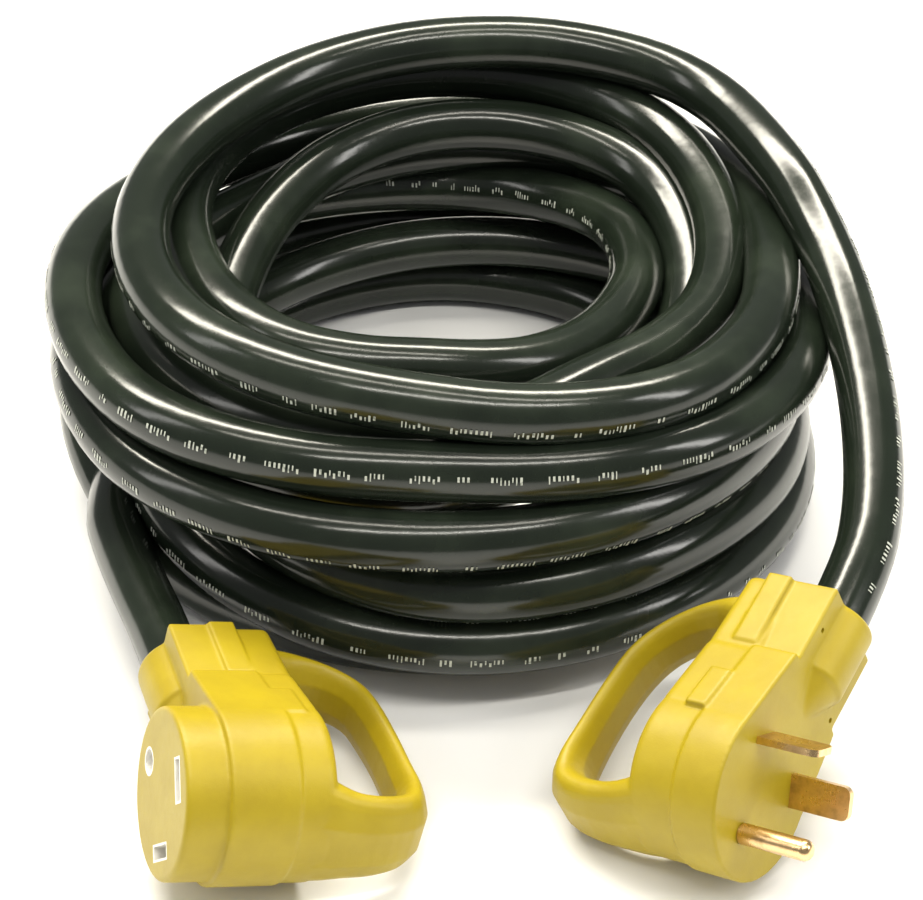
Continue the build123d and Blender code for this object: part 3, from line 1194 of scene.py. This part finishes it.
@dataclass
class Studio:
    """Camera, floor, lights and surroundings."""

    camera_mm: Place = (-10.5, -470.8, 474.9)
    tilt: float = 53.0
    lens_mm: float = 99.07
    sensor_mm: float = 36.0
    floor_size: float = 6.0
    floor_height: float = -0.0002
    aim: Place = (0.0, 0.08, 0.04)
    room: float = 0.52
    mirrored_room: float = 0.22

    def camera(self) -> None:
        """Set up the camera."""
        data = bpy.data.cameras.new("camera")
        data.lens = self.lens_mm
        data.sensor_width = self.sensor_mm
        data.clip_start = 0.02
        camera = bpy.data.objects.new("camera", data)
        camera.location = Vector(self.camera_mm) * MM
        camera.rotation_euler = (math.radians(self.tilt), 0.0, 0.0)
        bpy.context.scene.collection.objects.link(camera)
        bpy.context.scene.camera = camera

    def floor(self) -> None:
        """Lay the pale floor."""
        bpy.ops.mesh.primitive_plane_add(size=self.floor_size, location=(0.0, 0.0, self.floor_height))
        floor = bpy.context.object
        floor.name = "floor"
        graph = new_material("pale_floor")
        tint = graph.noise(3.0)
        colour = graph.mix(tint, (0.86, 0.86, 0.86), (0.90, 0.90, 0.90))
        floor.data.materials.append(graph.finish(Base_Color=colour, Roughness=0.75))

    def light(self, name: str, place: Place, size: tuple[float, float], power: float,
              colour: Colour) -> None:
        """Hang one soft rectangular light, facing the coil.

        Args:
            name: name of the light.
            place: where it hangs.
            size: its width and depth.
            power: its power in watts.
            colour: its colour.
        """
        data = bpy.data.lights.new(name, "AREA")
        data.shape = "RECTANGLE"
        data.size, data.size_y = size
        data.energy = power
        data.color = colour
        lamp = bpy.data.objects.new(name, data)
        lamp.location = place
        direction = Vector(self.aim) - Vector(place)
        lamp.rotation_euler = direction.to_track_quat("-Z", "Y").to_euler()
        bpy.context.scene.collection.objects.link(lamp)

    def build(self) -> None:
        """Set up floor, lights and surroundings."""
        self.floor()
        self.light("back_strip", (-0.15, 0.80, 1.25), (1.7, 0.22), 42.0, (1.0, 0.95, 0.82))
        self.light("top_strip", (0.0, 0.12, 1.6), (1.5, 0.10), 10.0, (1.0, 0.95, 0.84))
        self.light("front_strip", (0.15, -0.50, 1.5), (1.3, 0.08), 12.0, (1.0, 0.97, 0.88))
        self.light("left_soft", (-1.2, -0.1, 0.9), (0.20, 0.8), 3.0, (1.0, 0.98, 0.94))
        self.light("right_soft", (1.3, -0.2, 0.9), (0.20, 0.8), 7.0, (1.0, 0.98, 0.94))
        self.surroundings()

    def surroundings(self) -> None:
        """Pale room that is dim where glossy things mirror it."""
        graph = Graph(bpy.data.worlds.new("surroundings"), "Background")
        mirrored = graph.node("ShaderNodeLightPath", {}, {}, "Is Glossy Ray")
        levels = {"Value": mirrored, "To Min": self.room, "To Max": self.mirrored_room}
        strength = graph.node("ShaderNodeMapRange", {}, levels)
        bpy.context.scene.world = graph.finish(Color=(1.0, 1.0, 1.0, 1.0), Strength=strength)


class Core(Enum):
    """The cord's three cores, by what they carry."""

    LINE = "line"
    NEUTRAL = "neutral"
    GROUND = "ground"


def dress(node: str, material: bpy.types.Material) -> None:
    """Give a carried-over node its material.

    Args:
        node: name of the node.
        material: its material.
    """
    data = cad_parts[node].data
    data.materials.clear()
    data.materials.append(material)
    LOG.info("%s: %s", node, material.name)


def dress_hidden_pieces() -> None:
    """Give the pins and the pieces inside the heads their materials."""
    brass = DrawnBrass().build()
    copper = DrawnBrass("bare_copper", (0.86, 0.44, 0.28), (0.48, 0.22, 0.13)).build()
    pale = HardPlastic("pale_plastic", (0.80, 0.78, 0.72), (0.70, 0.68, 0.62)).build()
    grey = HardPlastic("grey_plastic", (0.30, 0.30, 0.31), (0.22, 0.22, 0.23)).build()
    black = HardPlastic("black_insulation", (0.020, 0.020, 0.020), (0.032, 0.032, 0.032)).build()
    white = HardPlastic("white_insulation", (0.80, 0.80, 0.77), (0.70, 0.70, 0.67)).build()
    green = HardPlastic("green_insulation", (0.020, 0.220, 0.060), (0.014, 0.160, 0.042)).build()
    dress("plug_insert", grey)
    dress("connector_insert", pale)
    dress("connector_insert_cap", grey)
    for node in ("plug_line_blade", "plug_neutral_blade", "plug_ground_pin"):
        dress(node, brass)
    insulation = {Core.LINE: black, Core.NEUTRAL: white, Core.GROUND: green}
    for core in Core:
        dress("connector_" + core.value + "_contact", brass)
        for head in ("plug", "connector"):
            dress(head + "_" + core.value + "_core", insulation[core])
            dress(head + "_" + core.value + "_conductor", copper)


def main() -> None:
    """Build everything in order."""
    logging.basicConfig(level=logging.INFO, format="%(message)s")
    bpy.ops.object.select_all(action="DESELECT")
    studio = Studio()
    studio.camera()
    cord = Cord(CordRoute())
    printed = Legend(cord).build(PrintInk().build())
    cord.build(CordJacket().build(), printed)
    vinyl = MouldedVinyl().build()
    PlugHead("plug_body", PLUG_PLACE, rear=26.5, parting=12.9, flank=-1).build(vinyl)
    ConnectorHead("connector_body", CONNECTOR_PLACE, rear=27.8, parting=17.9, flank=1, step=0.6,
                  strip_back=0.2, strip_height=1.6, pad_height=0.5).build(vinyl)
    dress_hidden_pieces()
    studio.build()
    bpy.context.scene.view_settings.view_transform = "Standard"


if __name__ == "__main__":
    main()
